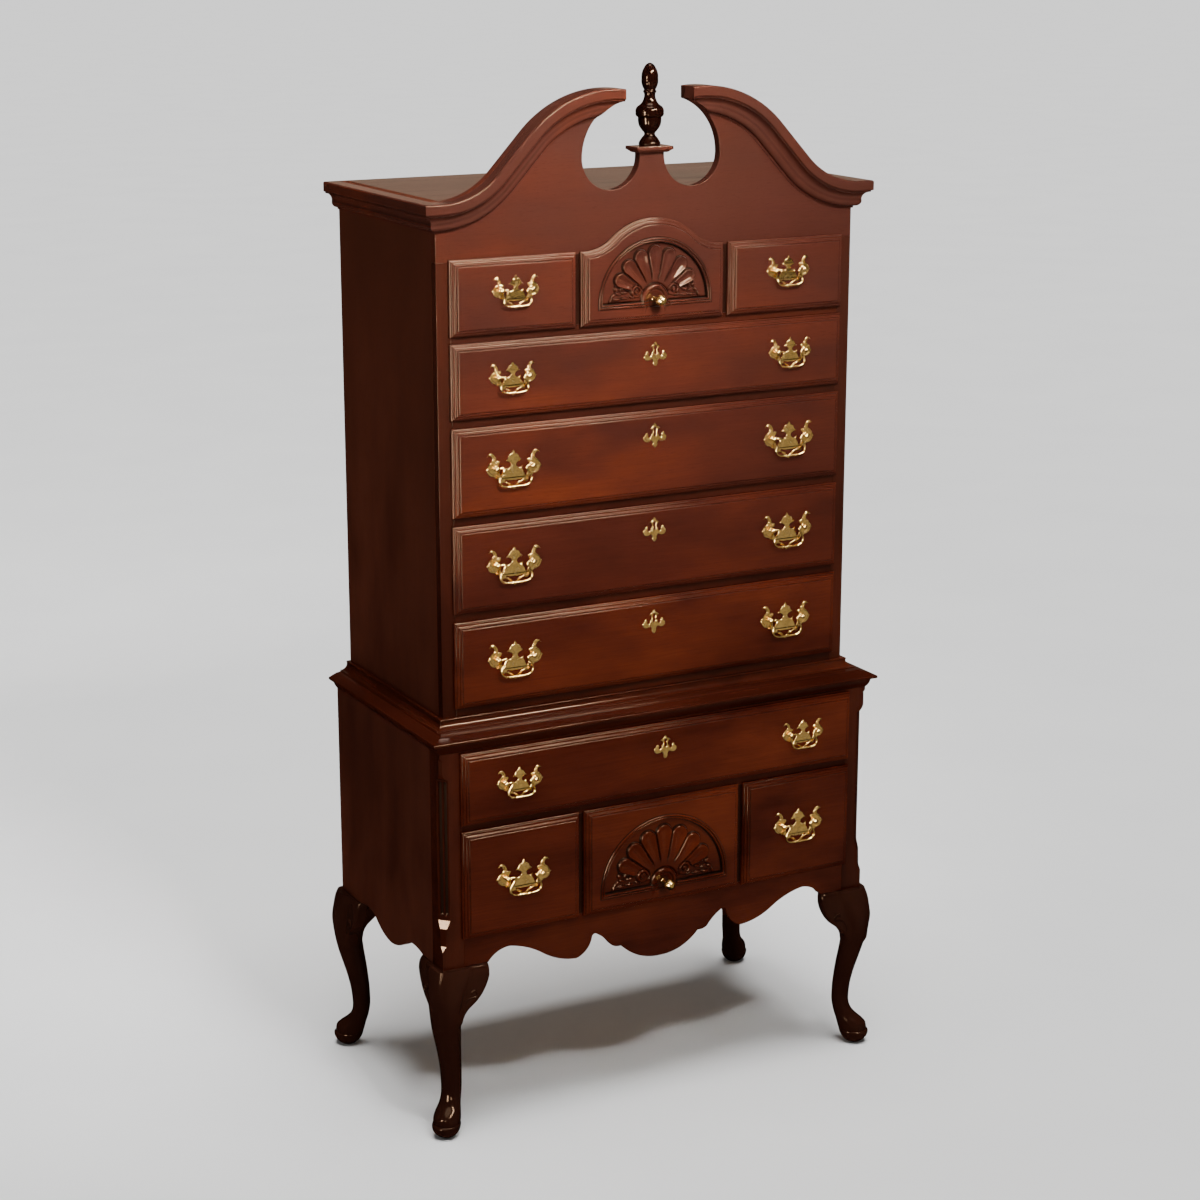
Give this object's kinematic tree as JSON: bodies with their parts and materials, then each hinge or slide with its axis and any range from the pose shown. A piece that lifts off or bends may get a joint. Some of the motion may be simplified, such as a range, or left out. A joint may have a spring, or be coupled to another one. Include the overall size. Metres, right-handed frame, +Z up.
{
  "type": "highboy",
  "caption": "Tall chest of drawers with a broken-scroll pediment, on a wider case of drawers with cabriole legs; drawers slide and their bail handles swing.",
  "frame": {"origin": "middle of the bottom of the bounding box, on the floor between the feet", "axes": "+Z up, -Y out of the front, +X to the right seen from the front"},
  "size_m": [1.0304, 0.5877, 2.089],
  "materials": {
    "cherry": "dark red-brown satin lacquer on cherry",
    "drawer_wood": "plain pale secondary wood",
    "brass": "polished antique brass"
  },
  "bodies": {
    "case": {"upper_side_left": "cherry", "upper_side_right": "cherry", "upper_case_frame": "cherry", "back_panels": "drawer_wood", "pediment_board": "cherry", "crown_mouldings": "cherry", "finial": "cherry", "lower_side_right": "cherry", "lower_side_left": "cherry", "lower_case_frame": "cherry", "front_apron": "cherry", "waist_moulding": "cherry", "cabriole_legs": "cherry"},
    "upper_left_drawer": {"upper_left_front": "cherry", "upper_left_box": "drawer_wood", "upper_left_hardware": "brass"},
    "upper_left_bail": {"upper_left_bail": "brass"},
    "upper_right_drawer": {"upper_right_front": "cherry", "upper_right_box": "drawer_wood", "upper_right_hardware": "brass"},
    "upper_right_bail": {"upper_right_bail": "brass"},
    "upper_shell_drawer": {"upper_shell_front": "cherry", "upper_shell_box": "drawer_wood", "upper_shell_knob": "brass"},
    "upper_row2_drawer": {"upper_row2_front": "cherry", "upper_row2_box": "drawer_wood", "upper_row2_hardware": "brass"},
    "upper_row2_bail_left": {"upper_row2_bail_left": "brass"},
    "upper_row2_bail_right": {"upper_row2_bail_right": "brass"},
    "upper_row3_drawer": {"upper_row3_front": "cherry", "upper_row3_box": "drawer_wood", "upper_row3_hardware": "brass"},
    "upper_row3_bail_left": {"upper_row3_bail_left": "brass"},
    "upper_row3_bail_right": {"upper_row3_bail_right": "brass"},
    "upper_row4_drawer": {"upper_row4_front": "cherry", "upper_row4_box": "drawer_wood", "upper_row4_hardware": "brass"},
    "upper_row4_bail_left": {"upper_row4_bail_left": "brass"},
    "upper_row4_bail_right": {"upper_row4_bail_right": "brass"},
    "upper_row5_drawer": {"upper_row5_front": "cherry", "upper_row5_box": "drawer_wood", "upper_row5_hardware": "brass"},
    "upper_row5_bail_left": {"upper_row5_bail_left": "brass"},
    "upper_row5_bail_right": {"upper_row5_bail_right": "brass"},
    "lower_wide_drawer": {"lower_wide_front": "cherry", "lower_wide_box": "drawer_wood", "lower_wide_hardware": "brass"},
    "lower_wide_bail_left": {"lower_wide_bail_left": "brass"},
    "lower_wide_bail_right": {"lower_wide_bail_right": "brass"},
    "lower_left_drawer": {"lower_left_front": "cherry", "lower_left_box": "drawer_wood", "lower_left_hardware": "brass"},
    "lower_left_bail": {"lower_left_bail": "brass"},
    "lower_right_drawer": {"lower_right_front": "cherry", "lower_right_box": "drawer_wood", "lower_right_hardware": "brass"},
    "lower_right_bail": {"lower_right_bail": "brass"},
    "lower_shell_drawer": {"lower_shell_front": "cherry", "lower_shell_box": "drawer_wood", "lower_shell_knob": "brass"}
  },
  "joints": [
    {"name": "upper_left_slide", "type": "slide", "parent": "case", "child": "upper_left_drawer", "axis": [0, -1, 0], "range_m": [0, 0.3]},
    {"name": "upper_left_bail_swing", "type": "hinge", "parent": "upper_left_drawer", "child": "upper_left_bail", "pos_m": [-0.3005, -0.22073, 1.6815], "axis": [-1, 0, 0], "range_deg": [0, 95]},
    {"name": "upper_right_slide", "type": "slide", "parent": "case", "child": "upper_right_drawer", "axis": [0, -1, 0], "range_m": [0, 0.3]},
    {"name": "upper_right_bail_swing", "type": "hinge", "parent": "upper_right_drawer", "child": "upper_right_bail", "pos_m": [0.3005, -0.22073, 1.6815], "axis": [-1, 0, 0], "range_deg": [0, 95]},
    {"name": "upper_shell_slide", "type": "slide", "parent": "case", "child": "upper_shell_drawer", "axis": [0, -1, 0], "range_m": [0, 0.3]},
    {"name": "upper_row2_slide", "type": "slide", "parent": "case", "child": "upper_row2_drawer", "axis": [0, -1, 0], "range_m": [0, 0.3]},
    {"name": "upper_row2_bail_left_swing", "type": "hinge", "parent": "upper_row2_drawer", "child": "upper_row2_bail_left", "pos_m": [-0.3085, -0.22073, 1.518], "axis": [-1, 0, 0], "range_deg": [0, 95]},
    {"name": "upper_row2_bail_right_swing", "type": "hinge", "parent": "upper_row2_drawer", "child": "upper_row2_bail_right", "pos_m": [0.3085, -0.22073, 1.518], "axis": [-1, 0, 0], "range_deg": [0, 95]},
    {"name": "upper_row3_slide", "type": "slide", "parent": "case", "child": "upper_row3_drawer", "axis": [0, -1, 0], "range_m": [0, 0.3]},
    {"name": "upper_row3_bail_left_swing", "type": "hinge", "parent": "upper_row3_drawer", "child": "upper_row3_bail_left", "pos_m": [-0.3085, -0.22073, 1.343], "axis": [-1, 0, 0], "range_deg": [0, 95]},
    {"name": "upper_row3_bail_right_swing", "type": "hinge", "parent": "upper_row3_drawer", "child": "upper_row3_bail_right", "pos_m": [0.3085, -0.22073, 1.343], "axis": [-1, 0, 0], "range_deg": [0, 95]},
    {"name": "upper_row4_slide", "type": "slide", "parent": "case", "child": "upper_row4_drawer", "axis": [0, -1, 0], "range_m": [0, 0.3]},
    {"name": "upper_row4_bail_left_swing", "type": "hinge", "parent": "upper_row4_drawer", "child": "upper_row4_bail_left", "pos_m": [-0.3085, -0.22073, 1.154], "axis": [-1, 0, 0], "range_deg": [0, 95]},
    {"name": "upper_row4_bail_right_swing", "type": "hinge", "parent": "upper_row4_drawer", "child": "upper_row4_bail_right", "pos_m": [0.3085, -0.22073, 1.154], "axis": [-1, 0, 0], "range_deg": [0, 95]},
    {"name": "upper_row5_slide", "type": "slide", "parent": "case", "child": "upper_row5_drawer", "axis": [0, -1, 0], "range_m": [0, 0.3]},
    {"name": "upper_row5_bail_left_swing", "type": "hinge", "parent": "upper_row5_drawer", "child": "upper_row5_bail_left", "pos_m": [-0.3085, -0.22073, 0.965], "axis": [-1, 0, 0], "range_deg": [0, 95]},
    {"name": "upper_row5_bail_right_swing", "type": "hinge", "parent": "upper_row5_drawer", "child": "upper_row5_bail_right", "pos_m": [0.3085, -0.22073, 0.965], "axis": [-1, 0, 0], "range_deg": [0, 95]},
    {"name": "lower_wide_slide", "type": "slide", "parent": "case", "child": "lower_wide_drawer", "axis": [0, -1, 0], "range_m": [0, 0.33]},
    {"name": "lower_wide_bail_left_swing", "type": "hinge", "parent": "lower_wide_drawer", "child": "lower_wide_bail_left", "pos_m": [-0.3255, -0.27073, 0.73], "axis": [-1, 0, 0], "range_deg": [0, 95]},
    {"name": "lower_wide_bail_right_swing", "type": "hinge", "parent": "lower_wide_drawer", "child": "lower_wide_bail_right", "pos_m": [0.3255, -0.27073, 0.73], "axis": [-1, 0, 0], "range_deg": [0, 95]},
    {"name": "lower_left_slide", "type": "slide", "parent": "case", "child": "lower_left_drawer", "axis": [0, -1, 0], "range_m": [0, 0.33]},
    {"name": "lower_left_bail_swing", "type": "hinge", "parent": "lower_left_drawer", "child": "lower_left_bail", "pos_m": [-0.31825, -0.27073, 0.53275], "axis": [-1, 0, 0], "range_deg": [0, 95]},
    {"name": "lower_right_slide", "type": "slide", "parent": "case", "child": "lower_right_drawer", "axis": [0, -1, 0], "range_m": [0, 0.33]},
    {"name": "lower_right_bail_swing", "type": "hinge", "parent": "lower_right_drawer", "child": "lower_right_bail", "pos_m": [0.31825, -0.27073, 0.53275], "axis": [-1, 0, 0], "range_deg": [0, 95]},
    {"name": "lower_shell_slide", "type": "slide", "parent": "case", "child": "lower_shell_drawer", "axis": [0, -1, 0], "range_m": [0, 0.33]}
  ]
}
